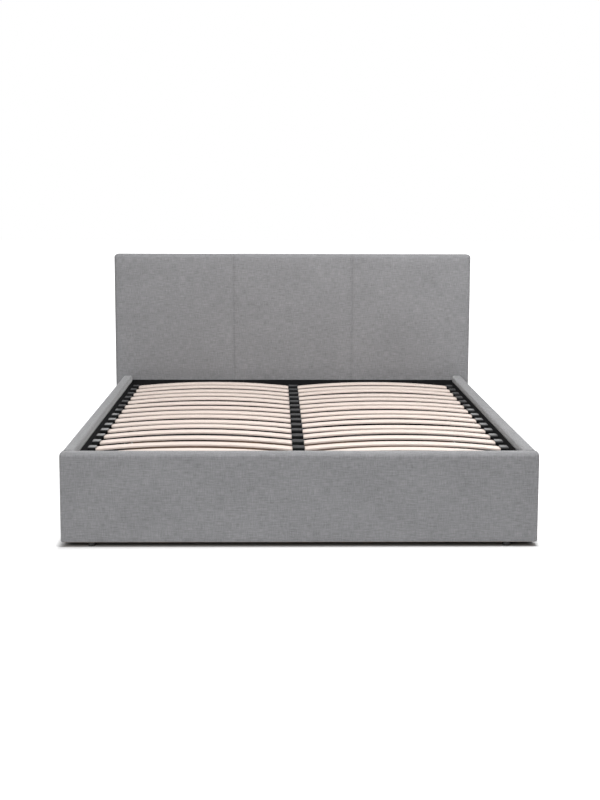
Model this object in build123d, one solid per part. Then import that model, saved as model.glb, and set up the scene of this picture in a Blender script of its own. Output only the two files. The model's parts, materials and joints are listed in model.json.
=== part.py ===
from build123d import *
import os
from math import atan2, cos, degrees, hypot, radians, sin

# Ottoman storage bed for a 1500 by 2000 mattress. Millimetres, +Z up, +Y towards the headboard.
# The origin is on the floor, under the middle of the bed.

# Overall sizes
bed_length = 2135.0
bed_height = 895.0
headboard_width = 1675.0
headboard_thickness = 70.0
headboard_overhang = 37.5
foot_panel_overhang = 5.0
foot_panel_thickness = 50.0
rail_thickness = 40.0
side_height = 322.0
ground_gap = 15.0

# Upholstery
face_cover = 4.0
edge_cover = 6.0
inner_skin = 2.0
turn_down = 28.0
headboard_lining_drop = 20.0
foot_crown_radius = 16.0
cover_edge_radius = 9.0
board_edge_radius = 7.0
headboard_corner_radius = 17.0
headboard_edge_radius = 15.0
headboard_back_radius = 5.0
foam_edge_radius = 12.0
seam_count = 2
seam_width = 6.0
seam_depth = 2.4
lining_thickness = 1.5

# Headboard inside
foam_thickness = 21.0
front_board_thickness = 5.0
dust_cloth_thickness = 2.0
post_width = 112.0
post_count = 4
cross_rail_height = 60.0
cross_rail_count = 3

# Storage floor
ledge_width = 25.0
ledge_height = 15.0
floor_panel_thickness = 6.0
floor_side_gap = 2.0
floor_joint_gap = 0.5
centre_beam_width = 60.0
glide_radius = 14.0
glide_inset = 103.0
glide_chamfer = 2.0
beam_glide_spacing = 900.0

# Platform frame: square steel tubes under the slats
frame_bottom = 238.0
tube_size = 30.0
tube_wall = 1.5
centre_bar_width = 40.0
cross_bar_height = 20.0
cross_bar_count = 2
cap_thickness = 2.0
cap_plug_length = 10.0
cap_plug_gap = 0.1
frame_head_gap = 11.0
frame_foot_gap = 9.5

# Slats and their holders
slat_rows = 15
first_slat_gap = 129.5
last_slat_gap = 124.3
slat_width = 53.0
slat_thickness = 8.0
slat_rise = 19.5
slat_tongue = 14.5
slat_fit = 0.3
slat_top = 305.0
holder_width = 60.0
holder_depth = 28.0
holder_height = 24.0
holder_shoulder_radius = 9.0
holder_bridge = 43.0

# Lift linkage, layered inwards from each rail: plate, rear arm, front arm, bracket
plate_thickness = 2.5
arm_thickness = 4.0
bracket_thickness = 3.0
layer_gap = 0.5
arm_width = 25.0
pin_radius = 6.0
pin_fit = 0.05
pin_head_radius = 10.0
pin_head_thickness = 3.0
pin_head_gap = 0.3
open_pin_radius = 5.0
open_pivot_clearance = 2.4
open_pivot_drop = 2.1
spacer_radius = 9.0
plate_rim_front = 16.0
plate_rim_rear = 24.0
plate_rim_strut = 12.5
bracket_rim = 18.0
bracket_weld_height = 26.0
bracket_weld_radius = 10.0
bracket_overhang = 8.0

# Pivots at rest: distance from the headboard face, and height over the storage floor or
# drop below the platform frame
front_arm_setback = 847.5
front_arm_rise = 19.0
rear_arm_setback = 578.5
rear_arm_rise = 112.0
bracket_front_setback = 302.5
bracket_front_drop = 53.0
bracket_rear_setback = 221.5
bracket_rear_drop = 14.0
strut_foot_setback = 383.5
strut_foot_rise = 14.0
strut_head_setback = 160.5
strut_head_drop = 37.0

# Gas strut
cylinder_radius = 11.0
cylinder_wall = 2.0
cylinder_end_wall = 6.0
rod_radius = 5.0
rod_clearance = 0.7
piston_radius = 8.0
piston_length = 10.0
piston_gap = 16.0
rod_shown = 45.0
eye_radius = 9.0
eye_width = 10.0
eye_neck_radius = 6.0
eye_neck_length = 18.0
stud_radius = 4.5
stud_collar_radius = 7.0
stud_head_radius = 7.0
stud_head_thickness = 2.5
stud_side_gap = 0.3

# Fittings
screw_radius = 2.2
screw_head_radius = 5.0
screw_head_thickness = 1.8
screw_length = 20.0
screw_hole_fit = 0.3
plate_screw_shares = ((0.16, 0.10), (0.47, 0.62), (0.62, 0.20), (0.90, 0.12))
bracket_bolt_count = 2
bracket_bolt_radius = 3.0
bracket_bolt_head_radius = 5.5
bracket_bolt_head_thickness = 3.0
corner_leg = 38.0
corner_thickness = 3.0
corner_height = 170.0
corner_bottom = 60.0
corner_bolt_radius = 4.0
corner_bolt_head_radius = 7.0
corner_bolt_head_thickness = 4.0
corner_bolt_rail_reach = 28.0
corner_bolt_head_reach = 60.0
corner_bolt_fit = 0.3
corner_bolt_spacing = 110.0
rest_block_width = 60.0
rest_block_depth = 34.0
rest_block_height = 30.0
rest_block_spacing = 1000.0
rest_block_edge_radius = 4.0
rest_gap = 0.3

# Overrun of every cutting tool beyond the face that it cuts
overrun = 5.0

# Places worked out from the sizes above
rail_spread = headboard_width - 2 * headboard_overhang
foot_panel_width = rail_spread + 2 * foot_panel_overhang
head_face_y = bed_length / 2 - headboard_thickness
foot_face_y = foot_panel_thickness - bed_length / 2
rail_inner_x = rail_spread / 2 - rail_thickness
lined_head_y = head_face_y - lining_thickness
floor_top = ground_gap + ledge_height + floor_panel_thickness
frame_top = frame_bottom + tube_size
rear_arm_x = rail_inner_x - plate_thickness - layer_gap
front_arm_x = rear_arm_x - arm_thickness - layer_gap
bracket_x = front_arm_x - arm_thickness - layer_gap
bar_outer_x = bracket_x - bracket_thickness
bar_inner_x = bar_outer_x - tube_size
strut_x = (bar_outer_x + bar_inner_x) / 2
frame_head_y = lined_head_y - frame_head_gap
frame_foot_y = foot_face_y + frame_foot_gap
holder_outer_x = bar_inner_x + holder_depth
holder_top = frame_top + holder_height
slat_pitch = (head_face_y - first_slat_gap - foot_face_y - last_slat_gap) / (slat_rows - 1)
slat_rows_y = [head_face_y - first_slat_gap - slat_pitch * row for row in range(slat_rows)]

front_arm_base = (head_face_y - front_arm_setback, floor_top + front_arm_rise)
rear_arm_base = (head_face_y - rear_arm_setback, floor_top + rear_arm_rise)
bracket_front = (head_face_y - bracket_front_setback, frame_bottom - bracket_front_drop)
bracket_rear = (head_face_y - bracket_rear_setback, frame_bottom - bracket_rear_drop)
strut_foot = (head_face_y - strut_foot_setback, floor_top + strut_foot_rise)
strut_head = (head_face_y - strut_head_setback, frame_bottom - strut_head_drop)
strut_length = hypot(strut_head[0] - strut_foot[0], strut_head[1] - strut_foot[1])
strut_angle = degrees(atan2(strut_head[1] - strut_foot[1], strut_head[0] - strut_foot[0]))


def block(x, y, z):
    """Box between the low and high value on each axis."""
    spans = (x, y, z)
    sizes = [high - low for low, high in spans]
    middles = [(high + low) / 2 for low, high in spans]
    return Pos(*middles) * Box(*sizes)


def rod_along_x(x, centre, radius):
    """Round bar along X between two values, at a (y, z) centre."""
    low, high = x
    middle = ((low + high) / 2, centre[0], centre[1])
    return Pos(*middle) * Rot(0, 90, 0) * Cylinder(radius, high - low)


def upright_rod(centre, z, radius):
    """Round bar along Z between two heights, at an (x, y) centre."""
    low, high = z
    return Pos(centre[0], centre[1], (low + high) / 2) * Cylinder(radius, high - low)


def hex_along_x(x, centre, radius):
    """Hexagonal bar along X between two values, at a (y, z) centre; radius is to its corners."""
    plane = Plane((x[0], *centre), x_dir=(0, 1, 0), z_dir=(1, 0, 0))
    return extrude(plane * RegularPolygon(radius, 6), x[1] - x[0])


def other_side(solid):
    return mirror(solid, about=Plane.YZ)


def both_sides(solids):
    return list(solids) + [other_side(solid) for solid in solids]


def square_tube(x, y, z, wall, along):
    """Open-ended rectangular tube whose bore runs along one axis."""
    spans = {"x": x, "y": y, "z": z}
    bore = {name: (span[0] + wall, span[1] - wall) for name, span in spans.items()}
    bore[along] = (spans[along][0] - overrun, spans[along][1] + overrun)
    return block(x, y, z) - block(bore["x"], bore["y"], bore["z"])


# Side rails

def rail_section(x, z, radius):
    """Rail profile seen along Y, with both top edges rounded."""
    outline = Rectangle(x[1] - x[0], z[1] - z[0])
    top = outline.vertices().sort_by(Axis.Y)[-2:]
    return Pos((x[0] + x[1]) / 2, (z[0] + z[1]) / 2) * fillet(top, radius)


def rail_prism(section):
    plane = Plane((0, foot_face_y, 0), x_dir=(1, 0, 0), z_dir=(0, -1, 0))
    return extrude(plane * section, -(head_face_y - foot_face_y))


def rail_board():
    x = (rail_inner_x + inner_skin, rail_spread / 2 - edge_cover)
    return rail_prism(rail_section(x, (ground_gap, side_height - edge_cover), board_edge_radius))


def rail_cover():
    x = (rail_inner_x, rail_spread / 2)
    outer = rail_prism(rail_section(x, (ground_gap, side_height), cover_edge_radius))
    below_turn = block((rail_inner_x - overrun, rail_inner_x + inner_skin),
                       (foot_face_y - overrun, head_face_y + overrun),
                       (ground_gap - overrun, side_height - turn_down))
    return outer - rail_board() - below_turn


def rail_lining():
    return block((rail_inner_x, rail_inner_x + inner_skin), (foot_face_y, head_face_y),
                 (ground_gap, side_height - turn_down))


# Foot panel

def foot_block(x_inset, y, top, crown, radius):
    """Panel with a full crown along its front top edge and smaller roundings round its ends and back."""
    half = foot_panel_width / 2 - x_inset
    solid = block((-half, half), y, (ground_gap, top))
    front_top = solid.edges().filter_by(Axis.X).group_by(Axis.Z)[-1].sort_by(Axis.Y)[0]
    solid = fillet(front_top, crown)
    back_top = solid.edges().filter_by(Axis.X).group_by(Axis.Z)[-1].sort_by(Axis.Y)[-1]
    solid = fillet(back_top, radius)
    for end in (0, -1):
        side = solid.faces().sort_by(Axis.X)[end]
        rim = [edge for edge in side.edges() if edge.center().Z > ground_gap + overrun]
        solid = fillet(rim, radius)
    return solid


def foot_panel_board():
    y = (-bed_length / 2 + edge_cover, foot_face_y - inner_skin)
    crown = foot_crown_radius - edge_cover
    return foot_block(edge_cover, y, side_height - edge_cover, crown, board_edge_radius)


def foot_panel_cover():
    outer = foot_block(0, (-bed_length / 2, foot_face_y), side_height, foot_crown_radius, cover_edge_radius)
    half = foot_panel_width / 2
    below_turn = block((-half - overrun, half + overrun), (foot_face_y - inner_skin, foot_face_y + overrun),
                       (ground_gap - overrun, side_height - turn_down))
    return outer - foot_panel_board() - below_turn


def foot_panel_lining():
    half = foot_panel_width / 2 - edge_cover
    return block((-half, half), (foot_face_y - inner_skin, foot_face_y), (ground_gap, side_height - turn_down))


# Headboard

headboard_back_y = bed_length / 2
foam_y = head_face_y + face_cover
front_board_y = foam_y + foam_thickness
post_y = front_board_y + front_board_thickness
post_back_y = headboard_back_y - dust_cloth_thickness
inner_half = headboard_width / 2 - edge_cover
inner_top = bed_height - edge_cover


def headboard_shape():
    half = headboard_width / 2
    solid = block((-half, half), (head_face_y, headboard_back_y), (ground_gap, bed_height))
    corners = solid.edges().filter_by(Axis.Y).group_by(Axis.Z)[-1]
    solid = fillet(corners, headboard_corner_radius)
    front = solid.faces().sort_by(Axis.Y)[0]
    rim = [edge for edge in front.edges() if edge.center().Z > ground_gap + overrun]
    solid = fillet(rim, headboard_edge_radius)
    back = solid.faces().sort_by(Axis.Y)[-1]
    rim = [edge for edge in back.edges() if edge.center().Z > ground_gap + overrun]
    return fillet(rim, headboard_back_radius)


def foam_shape():
    solid = block((-inner_half, inner_half), (foam_y, front_board_y), (ground_gap, inner_top))
    corners = solid.edges().filter_by(Axis.Y).group_by(Axis.Z)[-1]
    solid = fillet(corners, foam_edge_radius)
    front = solid.faces().sort_by(Axis.Y)[0]
    rim = [edge for edge in front.edges() if edge.center().Z > ground_gap + overrun]
    return fillet(rim, foam_edge_radius)


def carcass_space():
    """Room behind the foam for the boards, posts and dust cloth."""
    solid = block((-inner_half, inner_half), (front_board_y, headboard_back_y), (ground_gap, inner_top))
    corners = solid.edges().filter_by(Axis.Y).group_by(Axis.Z)[-1]
    return fillet(corners, foam_edge_radius)


def seam_grooves():
    """V grooves that part the cover's face into equal upright panels."""
    tools = []
    panel = headboard_width / (seam_count + 1)
    for seam in range(1, seam_count + 1):
        x = panel * seam - headboard_width / 2
        profile = Polyline((x - seam_width / 2, head_face_y), (x, head_face_y + seam_depth),
                           (x + seam_width / 2, head_face_y), close=True)
        tools.append(extrude(Pos(0, 0, ground_gap) * make_face(profile), bed_height - ground_gap))
    return tools


def headboard_cover():
    space = foam_shape() + carcass_space()
    cover = headboard_shape() - space
    return cover - seam_grooves()


def headboard_board():
    return carcass_space() & block((-inner_half, inner_half), (front_board_y, post_y), (ground_gap, inner_top))


def headboard_rails():
    """Cross rails of the timber frame, split between the posts."""
    post_pitch = (2 * inner_half - post_width) / (post_count - 1)
    rail_pitch = (inner_top - ground_gap - cross_rail_height) / (cross_rail_count - 1)
    solids = []
    for bay in range(post_count - 1):
        low = -inner_half + post_width + post_pitch * bay
        for level in range(cross_rail_count):
            bottom = ground_gap + rail_pitch * level
            solids.append(block((low, low + post_pitch - post_width), (post_y, post_back_y),
                                (bottom, bottom + cross_rail_height)))
    return solids


def headboard_posts():
    pitch = (2 * inner_half - post_width) / (post_count - 1)
    space = carcass_space()
    solids = []
    for post in range(post_count):
        low = -inner_half + pitch * post
        solids.append(space & block((low, low + post_width), (post_y, post_back_y), (ground_gap, inner_top)))
    return solids


def headboard_dust_cloth():
    return carcass_space() & block((-inner_half, inner_half), (post_back_y, headboard_back_y),
                                   (ground_gap, inner_top))


def headboard_lining():
    top = side_height - headboard_lining_drop
    return block((-rail_inner_x, rail_inner_x), (lined_head_y, head_face_y), (ground_gap, top))


# Storage floor

def floor_ledge():
    return block((rail_inner_x - ledge_width, rail_inner_x), (foot_face_y, lined_head_y),
                 (ground_gap, ground_gap + ledge_height))


def floor_panel(y):
    half = rail_inner_x - floor_side_gap
    bottom = ground_gap + ledge_height
    return block((-half, half), y, (bottom, bottom + floor_panel_thickness))


def floor_panels():
    """Head board and foot board, which meet at the middle."""
    middle = (foot_face_y + lined_head_y) / 2
    head = floor_panel((middle + floor_joint_gap / 2, lined_head_y - floor_side_gap))
    foot = floor_panel((foot_face_y + floor_side_gap, middle - floor_joint_gap / 2))
    return head, foot


def centre_beam():
    return block((-centre_beam_width / 2, centre_beam_width / 2), (foot_face_y, lined_head_y),
                 (ground_gap, ground_gap + ledge_height))


def glides():
    side_x = foot_panel_width / 2 - glide_inset
    rail_x = (rail_inner_x + inner_skin + rail_spread / 2 - edge_cover) / 2
    foot_y = (-bed_length / 2 + edge_cover + foot_face_y - inner_skin) / 2
    head_y = (post_y + post_back_y) / 2
    places = [(side * side_x, foot_y) for side in (-1, 1)]
    places += [(side * (inner_half - post_width / 2), head_y) for side in (-1, 1)]
    places += [(side * rail_x, 0) for side in (-1, 1)]
    places += [(0, side * beam_glide_spacing / 2) for side in (-1, 1)]
    glide = upright_rod((0, 0), (0, ground_gap), glide_radius)
    glide = chamfer(glide.edges().group_by(Axis.Z)[0], glide_chamfer)
    return [Pos(x, y, 0) * glide for x, y in places]


# Corner brackets and rest blocks

def corner_bracket(y_face, inward):
    """Steel angle in the corner between a rail and an end; inward is the way off that end."""
    z = (corner_bottom, corner_bottom + corner_height)
    near = sorted((y_face, y_face + inward * corner_thickness))
    along_rail = block((rail_inner_x - corner_thickness, rail_inner_x),
                       sorted((y_face, y_face + inward * corner_leg)), z)
    along_end = block((rail_inner_x - corner_leg, rail_inner_x), near, z)
    return along_rail + along_end


def bolt_heights():
    middle = corner_bottom + corner_height / 2
    return [middle - corner_bolt_spacing / 2, middle + corner_bolt_spacing / 2]


leg_middle = (corner_leg + corner_thickness) / 2
end_bolt_x = rail_inner_x - leg_middle
bracket_ends = ((lined_head_y, -1, corner_bolt_head_reach), (foot_face_y, 1, corner_bolt_rail_reach))


def rail_bolt_planes():
    """Plane under each rail bolt's head, on the brackets, facing into the rail."""
    x = rail_inner_x - corner_thickness
    return [Plane((x, y_face + inward * leg_middle, z), x_dir=(0, 1, 0), z_dir=(1, 0, 0))
            for y_face, inward, _ in bracket_ends for z in bolt_heights()]


def end_bolt_planes(end):
    """Plane under each bolt's head at one end, on the bracket, facing into that end."""
    y_face, inward, _ = bracket_ends[end]
    y = y_face + inward * corner_thickness
    return [Plane((end_bolt_x, y, z), x_dir=(1, 0, 0), z_dir=(0, -inward, 0)) for z in bolt_heights()]


def corner_bolt(reach):
    """Hexagon bolt along +Z, with the underside of its head at the origin."""
    head = extrude(RegularPolygon(corner_bolt_head_radius, 6), -corner_bolt_head_thickness)
    return head + Pos(0, 0, reach / 2) * Cylinder(corner_bolt_radius, reach)


def corner_bolts():
    """Two bolts into the rail and two into the end at each corner, heads on the bracket."""
    solids = [plane * corner_bolt(corner_bolt_rail_reach) for plane in rail_bolt_planes()]
    for end, (_, _, reach) in enumerate(bracket_ends):
        solids += [plane * corner_bolt(reach) for plane in end_bolt_planes(end)]
    return solids


def bolt_bore(reach):
    """Cutting rod for a bolt that reaches this far from the face that its head sits on."""
    return Pos(0, 0, reach / 2) * Cylinder(corner_bolt_radius + corner_bolt_fit, reach + 2 * overrun)


def drill_rail(solid):
    """Bolt holes through the rail's bracket legs, lining and board."""
    return solid - [plane * bolt_bore(corner_bolt_rail_reach) for plane in rail_bolt_planes()]


def drill_end(solid, end):
    """Bolt holes, on both sides, into the headboard (end 0) or foot panel (end 1)."""
    reach = bracket_ends[end][2]
    return solid - both_sides([plane * bolt_bore(reach) for plane in end_bolt_planes(end)])


def drilled_corner_bracket(end):
    y_face, inward, _ = bracket_ends[end]
    return drill_end(drill_rail(corner_bracket(y_face, inward)), end)


def rest_block():
    """Moulded block on the foot panel that the closed platform rests on."""
    x = rest_block_spacing / 2
    top = frame_bottom - rest_gap
    solid = block((x - rest_block_width / 2, x + rest_block_width / 2),
                  (foot_face_y, foot_face_y + rest_block_depth), (top - rest_block_height, top))
    rim = solid.edges().filter_by(Axis.Z).group_by(Axis.Y)[-1]
    return fillet(rim, rest_block_edge_radius)


# Lift linkage, drawn on the +X side

def plate_between(x, rims, holes=()):
    """Flat plate whose outline is drawn tight round a set of (y, z, radius) rims."""
    circles = [Pos(y, z) * Circle(radius) for y, z, radius in rims]
    outline = make_hull([circle.edge() for circle in circles])
    for y, z, radius in holes:
        outline -= Pos(y, z) * Circle(radius)
    plane = Plane((x[0], 0, 0), x_dir=(0, 1, 0), z_dir=(1, 0, 0))
    return extrude(plane * outline, x[1] - x[0])


def plate_screw_places():
    """Screw places as shares of the plate's length and height."""
    length = strut_foot[0] - front_arm_base[0]
    height = rear_arm_base[1] - front_arm_base[1]
    return [(front_arm_base[0] + length * along, front_arm_base[1] + height * up)
            for along, up in plate_screw_shares]


def base_plate():
    rims = [(*front_arm_base, plate_rim_front), (*rear_arm_base, plate_rim_rear),
            (*strut_foot, plate_rim_strut)]
    holes = [(*front_arm_base, pin_radius + pin_fit), (*rear_arm_base, pin_radius + pin_fit),
             (*strut_foot, stud_radius + pin_fit)]
    holes += [(y, z, screw_radius + screw_hole_fit) for y, z in plate_screw_places()]
    return plate_between((rail_inner_x - plate_thickness, rail_inner_x), rims, holes)


def base_plate_screws():
    face = rail_inner_x - plate_thickness
    solids = []
    for place in plate_screw_places():
        head = hex_along_x((face - screw_head_thickness, face), place, screw_head_radius)
        shank = rod_along_x((face, face + screw_length), place, screw_radius)
        solids.append(head + shank)
    return solids


def base_pivot_pins():
    """Front arm pin with a shoulder and a head; rear arm pin flush, as the front arm sweeps past it."""
    plate_face = rail_inner_x - plate_thickness
    arm_outer = front_arm_x
    arm_inner = front_arm_x - arm_thickness
    front = rod_along_x((arm_inner - pin_head_gap, rail_inner_x), front_arm_base, pin_radius)
    front += rod_along_x((arm_outer + pin_head_gap, plate_face), front_arm_base, spacer_radius)
    head_face = arm_inner - pin_head_gap
    front += rod_along_x((head_face - pin_head_thickness, head_face), front_arm_base, pin_head_radius)
    rear = rod_along_x((rear_arm_x - arm_thickness, rail_inner_x), rear_arm_base, pin_radius)
    return [front, rear]


def arm(base, tip, x_outer, base_hole, tip_hole):
    """Flat bar with round ends between two (y, z) pivots."""
    length = hypot(tip[0] - base[0], tip[1] - base[1])
    angle = degrees(atan2(tip[1] - base[1], tip[0] - base[0]))
    outline = Pos(length / 2, 0) * SlotCenterToCenter(length, arm_width)
    outline -= Circle(base_hole)
    outline -= Pos(length, 0) * Circle(tip_hole)
    placed = Pos(*base) * Rot(0, 0, angle) * outline
    plane = Plane((x_outer - arm_thickness, 0, 0), x_dir=(0, 1, 0), z_dir=(1, 0, 0))
    return extrude(plane * placed, arm_thickness)


def front_arm():
    return arm(front_arm_base, bracket_front, front_arm_x, pin_radius + pin_fit, pin_radius + pin_fit)


def rear_arm():
    """Its upper eye is the linkage's open pivot: wide, and set low so that the pin stays inside it."""
    tip = (bracket_rear[0], bracket_rear[1] - open_pivot_drop)
    return arm(rear_arm_base, tip, rear_arm_x, pin_radius + pin_fit, open_pin_radius + open_pivot_clearance)


def lift_bracket():
    low_z = frame_bottom + bracket_weld_height - bracket_weld_radius
    rims = [(*bracket_front, bracket_rim), (*bracket_rear, bracket_rim), (*strut_head, bracket_rim),
            (bracket_front[0] - bracket_overhang, low_z, bracket_weld_radius),
            (strut_head[0] + bracket_overhang, low_z, bracket_weld_radius)]
    holes = [(*bracket_front, pin_radius + pin_fit), (*bracket_rear, open_pin_radius + pin_fit),
             (*strut_head, stud_radius + pin_fit)]
    holes += [(y, z, bracket_bolt_radius + pin_fit) for y, z in bracket_bolt_places()]
    return plate_between((bracket_x - bracket_thickness, bracket_x), rims, holes)


def bracket_bolt_places():
    """Bolts through the bracket into the side bar, evenly spread."""
    low = bracket_front[0]
    high = strut_head[0]
    z = frame_bottom + tube_size / 2
    step = (high - low) / (bracket_bolt_count - 1)
    return [(low + step * bolt, z) for bolt in range(bracket_bolt_count)]


def lift_bracket_bolts():
    """Low heads inside the side bar's bore, shanks through its wall and the bracket."""
    solids = []
    wall_face = bar_outer_x - tube_wall
    for place in bracket_bolt_places():
        head_x = (wall_face - bracket_bolt_head_thickness, wall_face)
        head = hex_along_x(head_x, place, bracket_bolt_head_radius)
        shank = rod_along_x((wall_face, bracket_x), place, bracket_bolt_radius)
        solids.append(head + shank)
    return solids


def platform_pivot_pins():
    face = bracket_x - bracket_thickness
    front = rod_along_x((face - pin_head_thickness, face), bracket_front, pin_head_radius)
    front += rod_along_x((face, front_arm_x), bracket_front, pin_radius)
    rear = rod_along_x((face - pin_head_thickness, face), bracket_rear, pin_head_radius)
    rear += rod_along_x((face, rear_arm_x), bracket_rear, open_pin_radius)
    rear += rod_along_x((bracket_x, rear_arm_x - arm_thickness - pin_head_gap), bracket_rear, spacer_radius)
    return [front, rear]


def strut_stud(root_x, collar_root_x, place):
    """Stud from a plate inwards through the strut's eye, with a collar and a retaining head."""
    eye_outer = strut_x + eye_width / 2
    eye_inner = strut_x - eye_width / 2
    stud = rod_along_x((eye_inner - stud_side_gap - stud_head_thickness, root_x), place, stud_radius)
    stud += rod_along_x((eye_outer + stud_side_gap, collar_root_x), place, stud_collar_radius)
    stud += rod_along_x((eye_inner - stud_side_gap - stud_head_thickness, eye_inner - stud_side_gap),
                        place, stud_head_radius)
    return stud


def base_strut_stud():
    return strut_stud(rail_inner_x, rail_inner_x - plate_thickness, strut_foot)


def platform_strut_stud():
    return strut_stud(bracket_x, bracket_x - bracket_thickness, strut_head)


# Gas strut

def on_strut_line(start, solid):
    """Places a solid drawn along local X, from a (y, z) point along the strut."""
    direction = (0, cos(radians(strut_angle)), sin(radians(strut_angle)))
    plane = Plane((strut_x, *start), x_dir=direction, z_dir=(1, 0, 0))
    return plane * solid


def turned_profile(points):
    """Solid turned about local X from (along, radius) points."""
    return revolve(make_face(Polyline(*points, close=True)), Axis.X)


def strut_eye(flip):
    """Eye with its neck along local X; the neck starts clear of the stud's collar."""
    ring = Cylinder(eye_radius, eye_width)
    neck_start = stud_collar_radius + stud_side_gap
    neck = Rot(0, 90, 0) * Cylinder(eye_neck_radius, eye_neck_length - neck_start)
    neck = Pos(flip * (eye_neck_length + neck_start) / 2, 0, 0) * neck
    return ring + neck - Cylinder(stud_radius + 2 * pin_fit, eye_width + overrun)


def strut_rod_eye():
    return on_strut_line(strut_foot, strut_eye(1))


def strut_cylinder_eye():
    return on_strut_line(strut_head, strut_eye(-1))


def strut_rod():
    """Rod from its eye into the cylinder, with the piston at its end."""
    end = strut_length - eye_neck_length - piston_gap
    shoulder = end - piston_length
    points = [(eye_neck_length, 0), (eye_neck_length, rod_radius), (shoulder, rod_radius),
              (shoulder, piston_radius), (end, piston_radius), (end, 0)]
    return on_strut_line(strut_foot, turned_profile(points))


def strut_cylinder():
    """Tube with a closed upper end and a lower end wall that the rod slides through."""
    end = strut_length - eye_neck_length
    bore = cylinder_radius - cylinder_wall
    mouth = rod_radius + rod_clearance
    points = [(rod_shown, mouth), (rod_shown, cylinder_radius), (end, cylinder_radius), (end, 0),
              (end - cylinder_end_wall, 0), (end - cylinder_end_wall, bore),
              (rod_shown + cylinder_end_wall, bore), (rod_shown + cylinder_end_wall, mouth)]
    return on_strut_line(strut_foot, turned_profile(points))


# Platform frame

def side_bar():
    bar = square_tube((bar_inner_x, bar_outer_x), (frame_foot_y + cap_thickness, frame_head_y - cap_thickness),
                      (frame_bottom, frame_top), tube_wall, "y")
    for place in bracket_bolt_places():
        bar -= rod_along_x((bar_outer_x - tube_wall - overrun, bar_outer_x + overrun), place,
                           bracket_bolt_radius + pin_fit)
    return bar


def bar_end_caps():
    """Moulded caps that close the side bar's two ends."""
    solids = []
    plug_x = (bar_inner_x + tube_wall + cap_plug_gap, bar_outer_x - tube_wall - cap_plug_gap)
    plug_z = (frame_bottom + tube_wall + cap_plug_gap, frame_top - tube_wall - cap_plug_gap)
    for end, inward in ((frame_foot_y, 1), (frame_head_y, -1)):
        seat = end + inward * cap_thickness
        cap = block((bar_inner_x, bar_outer_x), sorted((end, seat)), (frame_bottom, frame_top))
        cap += block(plug_x, sorted((seat, seat + inward * cap_plug_length)), plug_z)
        solids.append(cap)
    return solids


def end_bar(y):
    return square_tube((-bar_inner_x, bar_inner_x), y, (frame_bottom, frame_top), tube_wall, "x")


head_bar_y = (frame_head_y - cap_thickness - tube_size, frame_head_y - cap_thickness)
foot_bar_y = (frame_foot_y + cap_thickness, frame_foot_y + cap_thickness + tube_size)


def centre_bar():
    half = centre_bar_width / 2
    return square_tube((-half, half), (foot_bar_y[1], head_bar_y[0]), (frame_bottom, frame_top), tube_wall, "y")


def cross_bars():
    """Bars from the centre bar to the side bars, set level with the frame's underside."""
    step = (head_bar_y[0] - foot_bar_y[1]) / (cross_bar_count + 1)
    solids = []
    for number in range(1, cross_bar_count + 1):
        middle = foot_bar_y[1] + step * number
        solids.append(square_tube((centre_bar_width / 2, bar_inner_x),
                                  (middle - tube_size / 2, middle + tube_size / 2),
                                  (frame_bottom, frame_bottom + cross_bar_height), tube_wall, "x"))
    return both_sides(solids)


# Slats and holders

slat_ends_x = (holder_bridge / 2 - slat_tongue, bar_inner_x + slat_tongue)


def bowed_slat(width, thickness, ends):
    """Slat seen along Y as a band between two arcs, centred on y = 0."""
    middle = (slat_ends_x[0] + slat_ends_x[1]) / 2
    half_span = (slat_ends_x[1] - slat_ends_x[0]) / 2
    crown = slat_top - slat_thickness / 2
    radius = (half_span ** 2 + slat_rise ** 2) / (2 * slat_rise)
    half = (ends[1] - ends[0]) / 2

    def arc(offset):
        reach = radius + offset
        centre_z = crown - radius
        return [(side * half, centre_z + (reach ** 2 - (side * half) ** 2) ** 0.5) for side in (-1, 0, 1)]

    low = [(middle + x, z) for x, z in arc(-thickness / 2)]
    high = [(middle + x, z) for x, z in arc(thickness / 2)]
    edges = [ThreePointArc(*low), Line(low[2], high[2]), ThreePointArc(*reversed(high)), Line(high[0], low[0])]
    plane = Plane((0, width / 2, 0), x_dir=(1, 0, 0), z_dir=(0, -1, 0))
    return extrude(plane * make_face(edges), width)


def slats():
    slat = bowed_slat(slat_width, slat_thickness, slat_ends_x)
    return [Pos(0, y, 0) * slat for y in slat_rows_y]


def slat_pocket():
    ends = (slat_ends_x[0] - slat_fit, slat_ends_x[1] + slat_fit)
    return bowed_slat(slat_width + 2 * slat_fit, slat_thickness + 2 * slat_fit, ends)


def holder_block(x):
    """Moulded cap over the slats' ends, with round shoulders along it."""
    section = Rectangle(holder_width, holder_height)
    section = fillet(section.vertices().sort_by(Axis.Y)[-2:], holder_shoulder_radius)
    plane = Plane((x[0], 0, (frame_top + holder_top) / 2), x_dir=(0, 1, 0), z_dir=(1, 0, 0))
    return extrude(plane * section, x[1] - x[0])


def side_holders():
    """One holder per slat on the side bar."""
    holder = holder_block((bar_inner_x, holder_outer_x)) - slat_pocket()
    return [Pos(0, y, 0) * holder for y in slat_rows_y]


def centre_holders():
    """Double holders on the centre bar, one pocket to each side."""
    holder = holder_block((-holder_bridge / 2, holder_bridge / 2)) - slat_pocket() - other_side(slat_pocket())
    return [Pos(0, y, 0) * holder for y in slat_rows_y]


def keep(name, *solids):
    shape = solids[0] if len(solids) == 1 else Compound(list(solids))
    export_step(shape, f"parts/{name}.step")


def keep_pair(name, solid):
    """The same piece on the left (-X) and the right (+X)."""
    keep(f"{name}_right", solid)
    keep(f"{name}_left", other_side(solid))


os.makedirs("parts", exist_ok=True)

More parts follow.
